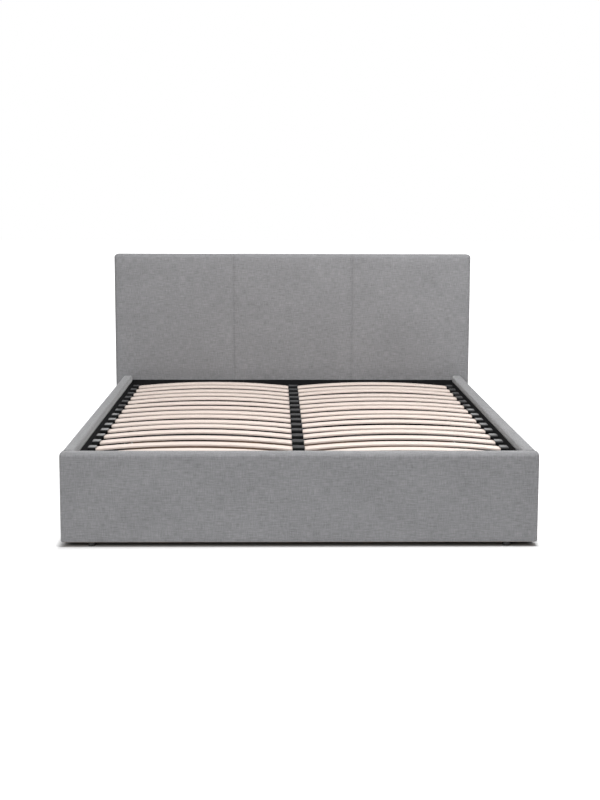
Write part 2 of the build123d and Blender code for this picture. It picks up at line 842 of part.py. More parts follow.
keep("headboard_posts", *[drill_end(post, 0) for post in headboard_posts()])
keep("headboard_rails", *headboard_rails())
keep("headboard_board", drill_end(headboard_board(), 0))
keep("headboard_foam", drill_end(foam_shape(), 0))
keep("headboard_cover", drill_end(headboard_cover(), 0))
keep("headboard_dust_cloth", headboard_dust_cloth())
keep("headboard_lining", drill_end(headboard_lining(), 0))
keep_pair("rail_board", drill_rail(rail_board()))
keep_pair("rail_cover", rail_cover())
keep_pair("rail_lining", drill_rail(rail_lining()))
keep("foot_panel_board", drill_end(foot_panel_board(), 1))
keep("foot_panel_cover", foot_panel_cover())
keep("foot_panel_lining", drill_end(foot_panel_lining(), 1))

keep_pair("floor_ledge", floor_ledge())
floor_head, floor_foot = floor_panels()
keep("floor_panel_head", floor_head)
keep("floor_panel_foot", floor_foot)
keep("centre_beam", centre_beam())
keep("glides", *glides())

keep("corner_brackets", *both_sides([drilled_corner_bracket(end) for end in (0, 1)]))
keep("corner_bolts", *both_sides(corner_bolts()))
keep("rest_blocks", *both_sides([rest_block()]))

keep_pair("base_plate", base_plate())
keep("base_plate_screws", *both_sides(base_plate_screws()))
keep("base_pivot_pins", *both_sides(base_pivot_pins()))
keep("base_strut_studs", *both_sides([base_strut_stud()]))
keep_pair("front_arm", front_arm())
keep_pair("rear_arm", rear_arm())
keep_pair("strut_rod", strut_rod())
keep_pair("strut_rod_eye", strut_rod_eye())
keep_pair("strut_cylinder", strut_cylinder())
keep_pair("strut_cylinder_eye", strut_cylinder_eye())

keep_pair("lift_bracket", lift_bracket())
keep("lift_bracket_bolts", *both_sides(lift_bracket_bolts()))
keep("platform_pivot_pins", *both_sides(platform_pivot_pins()))
keep("platform_strut_studs", *both_sides([platform_strut_stud()]))
keep_pair("side_bar", side_bar())
keep("bar_end_caps", *both_sides(bar_end_caps()))
keep("head_bar", end_bar(head_bar_y))
keep("foot_bar", end_bar(foot_bar_y))
keep("centre_bar", centre_bar())
keep("cross_bars", *cross_bars())

slats_right = slats()
keep("slats_right", *slats_right)
keep("slats_left", *[other_side(slat) for slat in slats_right])
holders_right = side_holders()
keep("slat_holders_right", *holders_right)
keep("slat_holders_left", *[other_side(holder) for holder in holders_right])
keep("slat_holders_centre", *centre_holders())
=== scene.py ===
import json
import math

import bpy
from mathutils import Matrix, Vector, noise

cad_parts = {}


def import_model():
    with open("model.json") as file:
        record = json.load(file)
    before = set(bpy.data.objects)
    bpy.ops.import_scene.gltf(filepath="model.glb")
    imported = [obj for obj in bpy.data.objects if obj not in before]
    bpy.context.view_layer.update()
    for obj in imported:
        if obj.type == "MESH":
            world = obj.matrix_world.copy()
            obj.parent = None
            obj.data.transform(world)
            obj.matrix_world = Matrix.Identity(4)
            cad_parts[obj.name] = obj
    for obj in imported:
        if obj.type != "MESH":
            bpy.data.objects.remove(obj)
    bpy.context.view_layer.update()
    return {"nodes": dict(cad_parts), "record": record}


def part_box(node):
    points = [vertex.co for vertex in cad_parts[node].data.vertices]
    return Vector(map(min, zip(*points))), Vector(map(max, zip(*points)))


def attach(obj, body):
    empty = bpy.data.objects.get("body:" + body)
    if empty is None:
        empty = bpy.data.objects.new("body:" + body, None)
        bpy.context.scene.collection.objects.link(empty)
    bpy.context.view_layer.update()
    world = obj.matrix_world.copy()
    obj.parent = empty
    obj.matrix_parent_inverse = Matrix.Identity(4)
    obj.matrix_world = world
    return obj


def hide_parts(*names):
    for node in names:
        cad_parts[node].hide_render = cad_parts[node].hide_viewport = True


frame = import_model()

# Sizes in metres, read from the frame where a node gives them
MM = 0.001
headboard_low, headboard_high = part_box("headboard_cover")
foot_low, foot_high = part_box("foot_panel_cover")
rail_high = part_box("rail_cover_right")[1]
lining_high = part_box("rail_lining_right")[1]
headboard_lining_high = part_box("headboard_lining")[1]
dust_low, dust_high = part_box("headboard_dust_cloth")

headboard_front_radius = 15 * MM
headboard_back_radius = 5 * MM
foot_crown_radius = 16 * MM
panel_edge_radius = 9 * MM
rail_end_radius = 1.5 * MM
hem_radius = 5 * MM
hem_drop = 0.5 * MM
hem_lap = 11 * MM
panel_count = 3
seam_depth = 3.2 * MM
seam_reach = 7.5 * MM
# Painted shade along the headboard's seams: how much the cloth's colour darkens, and how far out it reaches
seam_shade = 0.028
seam_shade_reach = 13 * MM
swell_depth = 3.0 * MM
swell_reach = 60 * MM
rim_reach = 45 * MM
fabric_thickness = 1.0 * MM
foot_swell = 1.0 * MM

# Slow waves of each cover: repeats per metre, depth, and the place in the noise where they start
headboard_waves = (3.1, 1.4 * MM, 3.0)
foot_waves = (3.4, 1.0 * MM, 11.0)
rail_waves = (4.0, 0.8 * MM, 31.0)

# Mesh lines of the covers: distances apart along X, Y and Z, distances from a seam, steps round an
# edge, and how near a line may come to one that is set
headboard_spacing = (14 * MM, 12 * MM, 14 * MM)
foot_spacing = (16 * MM, 8 * MM, 12 * MM)
rail_spacing = (8 * MM, 18 * MM, 12 * MM)
seam_lines = (0, 1 * MM, 2.5 * MM, 5 * MM, 9 * MM, 15 * MM)
edge_steps = 4
line_clearance_share = 0.3

slat_rows = 15
slat_width = 53 * MM
slat_thickness = 8 * MM
slat_rise = 19.5 * MM
slat_top_radius = 2.5 * MM
slat_bottom_radius = 0.8 * MM
slat_edge_steps = 4
slat_support = 1.0 * MM
slat_length_steps = 28
slat_girth = 2 * (slat_width + slat_thickness)

# Each slat takes its own stretch of the grain: how far it moves on from slat to slat, along and round
grain_shift = 1.7
row_shift = 0.31

# The slats bow a little unevenly, up to this far above or below the drawn one
slat_bow_spread = 2 * MM
slat_bow_turn = 2.4

# Camera, fitted to the photograph's 600 by 800 frame
photo_height = 800
focal_pixels = 1449.84
camera_sensor = 36.0
camera_place = (-0.08328, -5.83434, 1.18136)
camera_pitch = math.radians(8.134)
camera_yaw = math.radians(0.996)
camera_roll = math.radians(0.154)


# Meshes

def near_edge(radius):
    """Distances in from an edge that give even turns round its rounding."""
    turns = [math.radians(45) * step / edge_steps for step in range(edge_steps, -1, -1)]
    return [radius * (1 - math.tan(turn)) for turn in turns]


def grid_lines(low, high, radii, spacing, extra=()):
    """Places along one axis: close in the rounded edges, spacing apart between them."""
    places = {low + step for step in near_edge(radii[0])} | {high - step for step in near_edge(radii[1])}
    places |= set(extra)
    inner_low, inner_high = low + radii[0], high - radii[1]
    count = max(1, round((inner_high - inner_low) / spacing))
    for step in range(1, count):
        place = inner_low + (inner_high - inner_low) * step / count
        if all(abs(place - line) > spacing * line_clearance_share for line in extra):
            places.add(place)
    return sorted(places)


def slab_faces(lines):
    """Index quads of a box's six sides, with the side's axis and sign for each."""
    last = [len(line) - 1 for line in lines]
    for axis in range(3):
        u, v = [other for other in range(3) if other != axis]
        for sign, index in ((-1, 0), (1, last[axis])):
            for i in range(last[u]):
                for j in range(last[v]):
                    corners = []
                    for du, dv in ((0, 0), (1, 0), (1, 1), (0, 1)):
                        key = [0, 0, 0]
                        key[axis] = index
                        key[u] = i + du
                        key[v] = j + dv
                        corners.append(tuple(key))
                    flip = (sign > 0) == (axis == 1)
                    yield axis, sign, corners[::-1] if flip else corners


def rounded(point, low, high, radii):
    """Moves a point of a box's surface onto the same box with rounded edges; radii are (low, high) pairs."""
    inner, scaled, reach = Vector(), Vector(), Vector()
    for a in range(3):
        inner[a] = min(max(point[a], low[a] + radii[a][0]), high[a] - radii[a][1])
        reach[a] = radii[a][0] if point[a] < inner[a] else radii[a][1]
        scaled[a] = (point[a] - inner[a]) / reach[a]
    if scaled.length > 0:
        scaled.normalize()
    return inner + Vector(scaled[a] * reach[a] for a in range(3))


def cloth_uv(point, axis):
    """Length and height of the cloth in metres on a side whose normal runs along an axis."""
    return {0: (point.y, point.z), 1: (point.x, point.z), 2: (point.x, point.y)}[axis]


def soft_slab(name, low, high, radii, spacing, extra, keep, shape, cloth):
    """Upholstered slab: a rounded box's surface, less the faces that keep drops, moved by shape."""
    lines = [grid_lines(low[a], high[a], radii[a], spacing[a], extra[a]) for a in range(3)]
    points, index, faces, uvs = [], {}, [], []
    for axis, sign, corners in slab_faces(lines):
        raw = [Vector(lines[a][key[a]] for a in range(3)) for key in corners]
        if not keep(sum(raw, Vector()) / len(raw), axis, sign):
            continue
        face = []
        for key, place in zip(corners, raw):
            if key not in index:
                index[key] = len(points)
                points.append(shape(rounded(place, low, high, radii)))
            face.append(index[key])
            uvs.append(cloth_uv(place, axis))
        faces.append(face)
    piece = add_piece(name, points, faces, uvs, cloth)
    thicken(piece, fabric_thickness)
    return piece


def add_piece(name, points, faces, uvs, material):
    """New smooth-shaded object from points, faces and one cloth coordinate for each face corner."""
    mesh = bpy.data.meshes.new(name)
    mesh.from_pydata(points, [], faces)
    layer = mesh.uv_layers.new(name="cloth")
    for loop, uv in zip(layer.data, uvs):
        loop.uv = uv
    mesh.update()
    mesh.polygons.foreach_set("use_smooth", [True] * len(mesh.polygons))
    mesh.materials.append(material)
    piece = bpy.data.objects.new(name, mesh)
    bpy.context.scene.collection.objects.link(piece)
    return piece


def thicken(piece, thickness):
    """Gives a cloth surface its thickness, inwards, as part of its mesh."""
    solid = piece.modifiers.new("thickness", "SOLIDIFY")
    solid.thickness = thickness
    solid.offset = -1
    apply_modifiers(piece)


def apply_modifiers(piece):
    """Puts the mesh that the modifiers make in place of the object's own."""
    graph = bpy.context.evaluated_depsgraph_get()
    mesh = bpy.data.meshes.new_from_object(piece.evaluated_get(graph))
    old = piece.data
    piece.modifiers.clear()
    piece.data = mesh
    bpy.data.meshes.remove(old)


def ripple(point, scale, depth, seed):
    """Slow unevenness of stretched cloth, in metres."""
    return depth * noise.noise(point * scale + Vector((seed, seed, seed)))


# Materials

# The sRGB curve: a straight toe, then a power
full_tone = 255
toe_end = 0.04045
toe_slope = 12.92
curve_offset = 0.055
curve_power = 2.4


def srgb(red, green, blue):
    """Linear colour of an sRGB value from 0 to 255."""
    def linear(value):
        value /= full_tone
        if value <= toe_end:
            return value / toe_slope
        return ((value + curve_offset) / (1 + curve_offset)) ** curve_power
    return (linear(red), linear(green), linear(blue), 1.0)


class Shader:
    """A material with its Principled shader and short ways to add nodes."""

    def __init__(self, name, roughness=0.6, metallic=0.0, **sockets):
        self.material = bpy.data.materials.new(name)
        self.material.use_nodes = True
        self.nodes = self.material.node_tree.nodes
        self.links = self.material.node_tree.links
        self.surface = self.nodes["Principled BSDF"]
        self.surface.inputs["Roughness"].default_value = roughness
        self.surface.inputs["Metallic"].default_value = metallic
        for socket, value in sockets.items():
            self.surface.inputs[socket.replace("_", " ")].default_value = value

    def add(self, kind, inputs=(), **settings):
        node = self.nodes.new(kind)
        for key, value in settings.items():
            setattr(node, key, value)
        for key, value in dict(inputs).items():
            if isinstance(value, bpy.types.NodeSocket):
                self.links.new(value, node.inputs[key])
            else:
                node.inputs[key].default_value = value
        return node

    def coordinates(self, source="Object", scale=(1, 1, 1)):
        if source == "cloth":
            place = self.add("ShaderNodeUVMap", uv_map="cloth").outputs["UV"]
        else:
            place = self.add("ShaderNodeTexCoord").outputs[source]
        return self.add("ShaderNodeMapping", {"Vector": place, "Scale": scale}).outputs["Vector"]

    def noise(self, vector, scale=1.0, detail=2.0, roughness=0.5):
        return self.add("ShaderNodeTexNoise", {"Vector": vector, "Scale": scale, "Detail": detail,
                                               "Roughness": roughness}).outputs["Fac"]

    def cells(self, vector, scale):
        return self.add("ShaderNodeTexVoronoi", {"Vector": vector, "Scale": scale}).outputs["Distance"]

    def math(self, operation, first, second=0.0):
        return self.add("ShaderNodeMath", {0: first, 1: second}, operation=operation).outputs[0]

    def blend(self, patterns, shares):
        """Sum of the patterns, each times its share."""
        weighed = [self.math("MULTIPLY", pattern, share) for pattern, share in zip(patterns, shares)]
        total = weighed[0]
        for pattern in weighed[1:]:
            total = self.math("ADD", total, pattern)
        return total

    def ramp(self, factor, low, high, start=0.0, end=1.0):
        node = self.add("ShaderNodeValToRGB", {"Fac": factor})
        node.color_ramp.elements[0].position = start
        node.color_ramp.elements[0].color = low
        node.color_ramp.elements[1].position = end
        node.color_ramp.elements[1].color = high
        return node.outputs["Color"]

    def range(self, value, low, high, to_low, to_high):
        return self.add("ShaderNodeMapRange", {"Value": value, "From Min": low, "From Max": high,
                                               "To Min": to_low, "To Max": to_high}).outputs["Result"]

    def colour(self, output):
        self.links.new(output, self.surface.inputs["Base Color"])

    def worn(self, pattern, low, high, base, smoother, rougher):
        """Roughness round a base value, which a pattern takes from smoother to rougher."""
        output = self.range(pattern, low, high, base - smoother, base + rougher)
        self.links.new(output, self.surface.inputs["Roughness"])

    def bump(self, height, depth, strength=1.0):
        bump = self.add("ShaderNodeBump", {"Height": height, "Strength": strength, "Distance": depth})
        self.links.new(bump.outputs["Normal"], self.surface.inputs["Normal"])


# Woven cloth: pitch of its threads, and its patterns' repeats per metre across and up
thread_pitch = 1.3 * MM
slub_across_scale = (28, 330, 1)
slub_up_scale = (330, 34, 1)
melange_scale = (260, 260, 1)
drift_scale = (5, 7, 1)
cloth_tone_shares = (0.42, 0.33, 0.17, 0.1, 0.03)
cloth_relief_shares = (0.5, 1.2)
cloth_relief = 0.35 * MM


def woven_fabric(name, dark, light, seams=()):
    """Melange cloth: plain weave of slubby threads, with slow shifts of tone, and painted shade along upright
    seams.
    """
    shader = Shader(name, roughness=0.92, Sheen_Weight=0.45, Sheen_Roughness=0.4, Specular_IOR_Level=0.25)
    place = shader.coordinates("cloth", (1 / thread_pitch, 1 / thread_pitch, 1))
    split = shader.add("ShaderNodeSeparateXYZ", {"Vector": place})
    warp_wave = shader.math("SINE", shader.math("MULTIPLY", split.outputs["X"], math.pi))
    weft_wave = shader.math("SINE", shader.math("MULTIPLY", split.outputs["Y"], math.pi))
    weave = shader.math("MULTIPLY", warp_wave, weft_wave)
    slub_across = shader.noise(shader.coordinates("cloth", slub_across_scale), detail=3.0, roughness=0.6)
    slub_up = shader.noise(shader.coordinates("cloth", slub_up_scale), detail=3.0, roughness=0.6)
    melange = shader.noise(shader.coordinates("cloth", melange_scale), detail=4.0, roughness=0.7)
    drift = shader.noise(shader.coordinates("cloth", drift_scale), detail=2.0, roughness=0.5)
    threads = shader.blend((slub_across, slub_up, melange, drift, weave), cloth_tone_shares)
    across = shader.add("ShaderNodeSeparateXYZ", {"Vector": shader.coordinates("cloth")}).outputs["X"]
    for seam in seams:
        # Painted shade: the cloth darker close to each seam
        gap = shader.math("ABSOLUTE", shader.math("SUBTRACT", across, seam))
        threads = shader.math("SUBTRACT", threads, shader.range(gap, 0.0, seam_shade_reach, seam_shade, 0.0))
    shader.colour(shader.ramp(threads, dark, light, start=0.30, end=0.70))
    shader.bump(shader.blend((weave, threads), cloth_relief_shares), cloth_relief, strength=0.8)
    return shader.material


# Felted lining: fibres and pressed dots per metre
felt_scale = 900.0
dot_scale = 420.0
felt_relief = 0.2 * MM


def felted_lining(name, dark, light):
    """Thin non-woven cloth with a fine pressed dot pattern."""
    shader = Shader(name, roughness=0.95, Specular_IOR_Level=0.2)
    place = shader.coordinates()
    fibres = shader.noise(place, felt_scale, detail=3.0, roughness=0.6)
    dots = shader.cells(place, dot_scale)
    shader.colour(shader.ramp(fibres, dark, light, start=0.3, end=0.75))
    shader.bump(shader.math("ADD", fibres, dots), felt_relief, strength=0.5)
    return shader.material


# Wood: its patterns' repeats per metre across and along the grain, and what each adds to the tone
fibre_scales = (420.0, 7.0)
band_scales = (34.0, 1.6)
fleck_scales = (900.0, 120.0)
wood_tone_shares = (0.4, 0.45, 0.15)
wood_relief = 0.15 * MM


def stretched(scales, along):
    """Scale for each axis from a pair across and along the grain."""
    across_grain, along_grain = scales
    return [along_grain if axis == along else across_grain for axis in range(3)]


def grained_wood(name, dark, light, along, roughness=0.55, source="Object", coat=0.0, contrast=(0.32, 0.68)):
    """Wood with fibres and slow growth bands stretched along one axis."""
    shader = Shader(name, roughness=roughness, Coat_Weight=coat, Coat_Roughness=0.35)

    def grain(scales, detail, roughness):
        place = shader.coordinates(source, stretched(scales, along))
        return shader.noise(place, detail=detail, roughness=roughness)

    fibre = grain(fibre_scales, detail=5.0, roughness=0.65)
    bands = grain(band_scales, detail=3.0, roughness=0.55)
    flecks = grain(fleck_scales, detail=1.0, roughness=0.5)
    mixed = shader.blend((fibre, bands, flecks), wood_tone_shares)
    shader.colour(shader.ramp(mixed, dark, light, *contrast))
    shader.worn(fibre, low=0.2, high=0.8, base=roughness, smoother=0.08, rougher=0.1)
    shader.bump(fibre, wood_relief, strength=0.5)
    return shader.material


# Metals: patterns per metre
peel_scale = 700.0
scuff_scale = 45.0
peel_relief = 0.12 * MM
cloud_scale = 160.0
scratch_scale = (60, 900, 900)
scratch_relief = 0.03 * MM


def coated_metal(name, dark, light, roughness=0.42):
    """Powder coat: fine orange peel and faint scuffs."""
    shader = Shader(name, roughness=roughness, Specular_IOR_Level=0.4)
    place = shader.coordinates()
    peel = shader.noise(place, peel_scale, detail=2.0, roughness=0.5)
    scuffs = shader.noise(place, scuff_scale, detail=6.0, roughness=0.7)
    shader.colour(shader.ramp(scuffs, dark, light, start=0.35, end=0.8))
    shader.worn(scuffs, low=0.3, high=0.8, base=roughness, smoother=0.06, rougher=0.14)
    shader.bump(peel, peel_relief, strength=0.6)
    return shader.material


def plated_steel(name, dark, light, roughness=0.3):
    """Bright plating with faint clouds and fine scratches."""
    shader = Shader(name, roughness=roughness, metallic=1.0)
    place = shader.coordinates()
    cloud = shader.noise(place, cloud_scale, detail=4.0, roughness=0.6)
    scratch = shader.noise(shader.coordinates("Object", scratch_scale), detail=2.0, roughness=0.5)
    shader.colour(shader.ramp(cloud, dark, light, start=0.3, end=0.7))
    shader.worn(scratch, low=0.3, high=0.7, base=roughness, smoother=0.08, rougher=0.12)
    shader.bump(scratch, scratch_relief, strength=0.5)
    return shader.material


# Plastic and foam: patterns per metre, and how far up a face looks where the painted highlight on top starts
# and ends
spark_scale = 1400.0
streak_scale = 25.0
spark_relief = 0.06 * MM
top_highlight_start = 0.75
top_highlight_end = 0.97
foam_cell_scale = 700.0
foam_relief = 0.5 * MM


def moulded_plastic(name, dark, light, roughness=0.5, side_shade_gloss=0.45, top_highlight_gloss=0.45):
    """Injection moulded plastic with a fine spark texture; faces that look up can reflect more, a painted
    highlight, and side faces less, painted shade.
    """
    shader = Shader(name, roughness=roughness)
    normal = shader.add("ShaderNodeTexCoord").outputs["Normal"]
    up = shader.add("ShaderNodeSeparateXYZ", {"Vector": normal}).outputs["Z"]
    # Reflection strength set by how far a face looks up: painted highlight on top, painted shade on the sides
    gloss = shader.range(up, top_highlight_start, top_highlight_end, side_shade_gloss, top_highlight_gloss)
    shader.links.new(gloss, shader.surface.inputs["Specular IOR Level"])
    place = shader.coordinates()
    spark = shader.noise(place, spark_scale, detail=2.0, roughness=0.6)
    streaks = shader.noise(place, streak_scale, detail=3.0, roughness=0.5)
    shader.colour(shader.ramp(streaks, dark, light, start=0.3, end=0.7))
    shader.worn(spark, low=0.3, high=0.7, base=roughness, smoother=0.05, rougher=0.08)
    shader.bump(spark, spark_relief, strength=0.5)
    return shader.material


def open_foam(name, dark, light):
    """Foam with open cells."""
    shader = Shader(name, roughness=1.0, Specular_IOR_Level=0.1)
    cells = shader.cells(shader.coordinates(), foam_cell_scale)
    shader.colour(shader.ramp(cells, dark, light, start=0.1, end=0.6))
    shader.bump(cells, foam_relief, strength=0.8)
    return shader.material


cloth_tones = (srgb(97, 97, 99), srgb(156, 156, 158))
headboard_width = headboard_high[0] - headboard_low[0]
seam_places = [headboard_low[0] + headboard_width * number / panel_count for number in range(1, panel_count)]
fabric = woven_fabric("upholstery", *cloth_tones)
headboard_fabric = woven_fabric("headboard_upholstery", *cloth_tones, seam_places)
lining = felted_lining("black_lining", srgb(12, 12, 13), srgb(24, 24, 26))
dust_cloth = felted_lining("dust_cloth", srgb(24, 24, 26), srgb(40, 40, 42))
slat_wood = grained_wood("slat_wood", srgb(218, 202, 192), srgb(232, 217, 208), along=0, roughness=0.5,
                         source="cloth", coat=0.1, contrast=(0.2, 0.8))
softwood = grained_wood("softwood", srgb(176, 138, 96), srgb(214, 180, 134), along=1, roughness=0.7)
carcass_board = grained_wood("carcass_board", srgb(136, 106, 74), srgb(164, 132, 96), along=0, roughness=0.8)
floor_board = grained_wood("floor_board", srgb(96, 72, 52), srgb(124, 96, 72), along=1, roughness=0.65)
frame_black = coated_metal("frame_black", srgb(22, 22, 24), srgb(34, 34, 36))
bright_zinc = plated_steel("bright_zinc", srgb(168, 168, 164), srgb(206, 206, 200), roughness=0.32)
rod_chrome = plated_steel("rod_chrome", srgb(214, 214, 216), srgb(236, 236, 238), roughness=0.12)
# Holders: strong reflection on top paints a highlight there, weak reflection paints the sides dark
holder_plastic = moulded_plastic("holder_plastic", srgb(13, 13, 14), srgb(19, 19, 20), roughness=0.17,
                                 side_shade_gloss=0.04, top_highlight_gloss=0.5)
glide_plastic = moulded_plastic("glide_plastic", srgb(22, 22, 22), srgb(32, 32, 32), roughness=0.55)
block_rubber = moulded_plastic("block_rubber", srgb(20, 20, 20), srgb(30, 30, 30), roughness=0.8)
foam = open_foam("foam", srgb(206, 200, 168), srgb(232, 228, 204))

slot_materials = {
    "upholstery": fabric, "black_lining": lining, "dust_cloth": dust_cloth, "foam": foam,
    "carcass_board": carcass_board, "softwood": softwood, "floor_board": floor_board, "slat_wood": slat_wood,
    "frame_black": frame_black, "bright_zinc": bright_zinc, "rod_chrome": rod_chrome,
    "holder_plastic": holder_plastic, "glide_plastic": glide_plastic, "block_rubber": block_rubber,
}
for part in frame["record"]["subparts"]:
    node = frame["nodes"][part["node"]]
    node.data.materials.clear()
    node.data.materials.append(slot_materials[part["material_slot"]])


# Upholstery

def ease(value, start, end):
    """Smooth step from 0 at start to 1 at end."""
    share = min(1.0, max(0.0, (value - start) / (end - start)))
    return share * share * (3 - 2 * share)


def headboard_form(point):
    """Padded face: swelling a little between the seams and drawn in along them, flat behind the lining."""
    share = max(0.0, 1 - (point.y - headboard_low[1]) / headboard_front_radius)
    lining_top = headboard_lining_high[2]
    above_lining = ease(point.z, lining_top, lining_top + swell_reach)
    rim = min(point.x - headboard_low[0], headboard_high[0] - point.x, headboard_high[2] - point.z)
    gap = min(abs(point.x - seam) for seam in seam_places)
    free = ease(rim, 0, rim_reach) * (1 - math.exp(-gap / swell_reach)) * above_lining
    swell = free * (swell_depth + ripple(point, *headboard_waves))
    groove = seam_depth * math.exp(-gap / seam_reach) * ease(point.z, lining_top - rim_reach, lining_top)
    return point + Vector((0, share * (groove - swell), 0))


def under_hem(middle, axis, sign, low, high):
    """True on the underside, further in than the hem reaches."""
    inset = min(middle.x - low[0], high[0] - middle.x, middle.y - low[1], high[1] - middle.y)
    return axis == 2 and sign < 0 and inset > hem_lap


def headboard_keep(middle, axis, sign):
    behind_dust_cloth = dust_low[0] < middle.x < dust_high[0] and middle.z < dust_high[2]
    on_back = axis == 1 and sign > 0
    return not (on_back and behind_dust_cloth) and not (axis == 2 and sign < 0)


def headboard_piece():
    lines_x = [seam + side * line for seam in seam_places for line in seam_lines for side in (-1, 1)]
    lines = (sorted(set(lines_x)) + [dust_low[0], dust_high[0]], (), (dust_high[2], headboard_lining_high[2]))
    sides = (headboard_front_radius, headboard_front_radius)
    radii = (sides, (headboard_front_radius, headboard_back_radius), (hem_radius, headboard_front_radius))
    return soft_slab("headboard_upholstery", headboard_low, headboard_high, radii, headboard_spacing,
                     lines, headboard_keep, headboard_form, headboard_fabric)


def foot_form(point):
    """Front with the slow waves of cloth pulled over wadding."""
    front = 1 - ease(point.y, foot_low[1], foot_low[1] + foot_crown_radius)
    return point - Vector((0, front * (foot_swell + ripple(point, *foot_waves)), 0))


def foot_piece():
    low = (foot_low[0], foot_low[1], foot_low[2] - hem_drop)

    def keep(middle, axis, sign):
        lined = axis == 1 and sign > 0 and middle.z < lining_high[2] and abs(middle.x) < rail_high[0]
        return not lined and not under_hem(middle, axis, sign, low, foot_high)

    ends = (panel_edge_radius, panel_edge_radius)
    radii = (ends, (foot_crown_radius, panel_edge_radius), (hem_radius, foot_crown_radius))
    hem_lines = ((low[0] + hem_lap, foot_high[0] - hem_lap), (low[1] + hem_lap, foot_high[1] - hem_lap))
    lines = (hem_lines[0] + (-rail_high[0], rail_high[0]), hem_lines[1], (lining_high[2],))
    return soft_slab("foot_panel_upholstery", low, foot_high, radii, foot_spacing, lines, keep,
                     foot_form, fabric)


def rail_piece(side):
    low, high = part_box(f"rail_cover_{side}")
    low = (low[0], low[1], low[2] - hem_drop)
    inward = 1 if side == "left" else -1

    def keep(middle, axis, sign):
        lined = axis == 0 and sign == inward and middle.z < lining_high[2]
        return not lined and not under_hem(middle, axis, sign, low, high) and axis != 1

    def form(point):
        crown = ease(point.z, high[2] - panel_edge_radius, high[2])
        return point + Vector((0, 0, crown * ripple(point, *rail_waves)))

    edges = (panel_edge_radius, panel_edge_radius)
    radii = (edges, (rail_end_radius, rail_end_radius), (hem_radius, panel_edge_radius))
    hem_lines = (low[0] + hem_lap, high[0] - hem_lap)
    return soft_slab(f"rail_{side}_upholstery", low, high, radii, rail_spacing,
                     (hem_lines, (), (lining_high[2],)), keep, form, fabric)


upholstery = {"headboard_cover": headboard_piece(), "foot_panel_cover": foot_piece(),
              "rail_cover_left": rail_piece("left"), "rail_cover_right": rail_piece("right")}
for node_name, piece in upholstery.items():
    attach(piece, "base")
    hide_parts(node_name)


# Slats

def slat_section():
    """Rounded cross-section as (across, up) points, anticlockwise, with points that keep the flats flat."""
    points = []
    for corner, (side_y, side_z) in enumerate(((1, 1), (-1, 1), (-1, -1), (1, -1))):
        radius = slat_top_radius if side_z > 0 else slat_bottom_radius
        centre_y = side_y * (slat_width / 2 - radius)
        centre_z = side_z * (slat_thickness / 2 - radius)
        arc = []
        for step in range(slat_edge_steps + 1):
            angle = math.radians(90 * (corner + step / slat_edge_steps))
            arc.append((centre_y + radius * math.cos(angle), centre_z + radius * math.sin(angle)))
        support = (centre_y - side_y * slat_support, side_z * slat_thickness / 2)
        points += arc + [support] if side_y * side_z > 0 else [support] + arc
    return points


def slat_bow(number):
    """How far one slat bows above or below the drawn one, with no order from slat to slat."""
    return slat_bow_spread * math.sin(slat_bow_turn * number ** 2)


def slat_column(side):
    """Fifteen bowed slats of one column, each with its own stretch of grain."""
    first_number = slat_rows if side == "right" else 0
    low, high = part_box(f"slats_{side}")
    pitch = (high[1] - low[1] - slat_width) / (slat_rows - 1)
    section = slat_section()
    ring = len(section)
    half = (high[0] - low[0]) / 2
    end_height = high[2] - slat_thickness / 2 - slat_rise
    points, faces, uvs = [], [], []
    for row in range(slat_rows):
        y = high[1] - slat_width / 2 - pitch * row
        rise = slat_rise + slat_bow(first_number + row)
        first = len(points)
        for step in range(slat_length_steps + 1):
            x = -half + 2 * half * step / slat_length_steps
            height = end_height + rise * (1 - (x / half) ** 2)
            for across, up in section:
                points.append(Vector(((low[0] + high[0]) / 2 + x, y + across, height + up)))
        for step in range(slat_length_steps):
            for corner in range(ring):
                quad = [(step, corner), (step + 1, corner), (step + 1, corner + 1), (step, corner + 1)]
                faces.append([first + s * ring + c % ring for s, c in quad])
                for s, c in quad:
                    along = points[first + s * ring].x + row * grain_shift
                    uvs.append((along, c / ring * slat_girth + row * row_shift))
        for step, order in ((0, 1), (slat_length_steps, -1)):
            cap = [first + step * ring + corner for corner in range(ring)][::order]
            faces.append(cap)
            uvs += [(points[v].y + row, points[v].z) for v in cap]
    return add_piece(f"slat_column_{side}", points, faces, uvs, slat_wood)


for side in ("left", "right"):
    column = slat_column(side)
    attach(column, "platform")
    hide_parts(f"slats_{side}")


# Stage: white floor and soft studio light

world_light = 0.22
floor_reach = 30.0
floor_tone = 0.75
# Painted shade: under the bed the floor's colour falls to this tone, over this reach in from its edge
shade_tone = 0.25
shade_reach = 0.03
# The floor's glow is none at the bed's edge and rises over these reaches to these strengths, then to full
# over the last span: a painted soft shadow round the bed over the real one
side_contact_reach = 0.025
end_contact_reach = 0.12
near_glow = 0.55
beside_glow = 0.75
clear_of_shadow = (0.12, 0.7)

# Lamps: place, the point that each faces, width and depth in metres, and power in watts
lamps = {
    "overhead": {"place": (0.0, -0.7, 4.2), "target": (0, 0, 0.3), "size": (4.5, 4.5), "power": 55},
    "front_left": {"place": (-2.7, -5.4, 2.6), "target": (0, 0, 0.5), "size": (3.0, 3.0), "power": 128},
    "front_right": {"place": (0.8, -7.0, 3.0), "target": (0, 0, 0.5), "size": (3.0, 3.0), "power": 28},
    "over_headboard": {"place": (0.9, -1.3, 3.2), "target": (0.3, 1.0, 0.5), "size": (1.6, 1.6),
                       "power": 102},
}


def shown_directly(shader):
    """1 where a ray from the camera, a mirror or clear material meets the surface, else 0."""
    path = shader.add("ShaderNodeLightPath")
    shown = shader.math("MAXIMUM", path.outputs["Is Camera Ray"], path.outputs["Is Glossy Ray"])
    return shader.math("MAXIMUM", shown, path.outputs["Is Transmission Ray"])


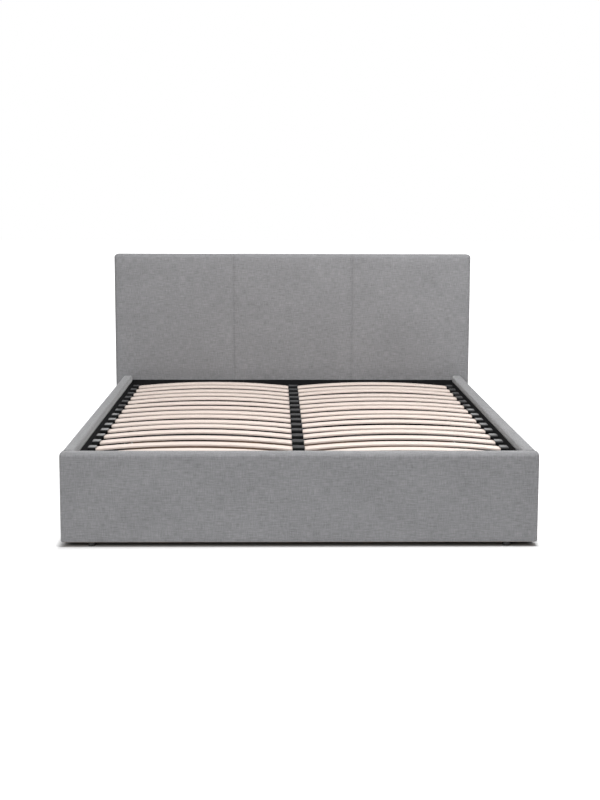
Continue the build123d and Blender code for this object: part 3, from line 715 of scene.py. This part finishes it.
def floor_white():
    """White floor with painted shade under the bed, and a glow that is weaker close round the bed, which
    paints a soft shadow there over the real one.
    """
    shader = Shader("studio_floor", roughness=1.0, Specular_IOR_Level=0.0, Emission_Color=(1, 1, 1, 1))
    place = shader.add("ShaderNodeNewGeometry").outputs["Position"]
    split = shader.add("ShaderNodeSeparateXYZ", {"Vector": place})
    past_side = shader.math("SUBTRACT", shader.math("ABSOLUTE", split.outputs["X"]), foot_high[0])
    past_end = shader.math("SUBTRACT", shader.math("ABSOLUTE", split.outputs["Y"]), -foot_low[1])
    past = shader.math("MAXIMUM", past_side, past_end)
    # Painted shade: the floor's colour darker under the bed
    shade = shader.range(past, -shade_reach, 0.0, 0.0, 1.0)
    shader.colour(shader.ramp(shade, (shade_tone,) * 3 + (1,), (floor_tone,) * 3 + (1,)))
    # Glow weaker close to the bed, a painted soft shadow there
    near_side = shader.range(past_side, 0.0, side_contact_reach, 0.0, beside_glow)
    near_end = shader.range(past_end, 0.0, end_contact_reach, 0.0, near_glow)
    near = shader.math("MAXIMUM", near_side, near_end)
    far = shader.range(past, *clear_of_shadow, 0.0, 1 - near_glow)
    glow = shader.math("MULTIPLY", shader.math("ADD", near, far), shown_directly(shader))
    shader.links.new(glow, shader.surface.inputs["Emission Strength"])
    return shader.material


def floor():
    """Square floor that reaches past every view."""
    corners = [(-floor_reach, -floor_reach, 0), (floor_reach, -floor_reach, 0),
               (floor_reach, floor_reach, 0), (-floor_reach, floor_reach, 0)]
    add_piece("studio_floor", corners, [(0, 1, 2, 3)], [corner[:2] for corner in corners],
                       floor_white())


def world():
    """Even soft light; white where it is seen directly, in metal or through clear parts."""
    studio = bpy.data.worlds.new("studio")
    bpy.context.scene.world = studio
    studio.use_nodes = True
    nodes = studio.node_tree.nodes
    links = studio.node_tree.links
    path = nodes.new("ShaderNodeLightPath")
    shown = path.outputs["Is Camera Ray"]
    for kind in ("Is Glossy Ray", "Is Transmission Ray"):
        either = nodes.new("ShaderNodeMath")
        either.operation = "MAXIMUM"
        links.new(shown, either.inputs[0])
        links.new(path.outputs[kind], either.inputs[1])
        shown = either.outputs[0]
    strength = nodes.new("ShaderNodeMapRange")
    strength.inputs["To Min"].default_value = world_light
    strength.inputs["To Max"].default_value = 1.0
    links.new(shown, strength.inputs["Value"])
    background = nodes["Background"]
    background.inputs["Color"].default_value = (1, 1, 1, 1)
    links.new(strength.outputs["Result"], background.inputs["Strength"])


def area_light(name, place, target, size, power):
    """Soft rectangular lamp that faces a point."""
    light = bpy.data.lights.new(name, "AREA")
    light.shape = "RECTANGLE"
    light.size, light.size_y = size
    light.energy = power
    lamp = bpy.data.objects.new(name, light)
    bpy.context.scene.collection.objects.link(lamp)
    way = Vector(target) - Vector(place)
    lamp.matrix_world = Matrix.Translation(place) @ way.to_track_quat("-Z", "Y").to_matrix().to_4x4()


floor()
world()
for lamp_name, settings in lamps.items():
    area_light(lamp_name, **settings)


def camera():
    """Camera in the photograph's place, turned from looking straight along +Y."""
    data = bpy.data.cameras.new("camera")
    data.sensor_width = camera_sensor
    data.lens = focal_pixels / photo_height * camera_sensor
    piece = bpy.data.objects.new("camera", data)
    bpy.context.scene.collection.objects.link(piece)
    turn = (Matrix.Rotation(-camera_yaw, 4, "Z") @ Matrix.Rotation(math.pi / 2 - camera_pitch, 4, "X")
            @ Matrix.Rotation(camera_roll, 4, "Z"))
    piece.matrix_world = Matrix.Translation(camera_place) @ turn
    bpy.context.scene.camera = piece


camera()
bpy.context.scene.view_settings.view_transform = "Standard"
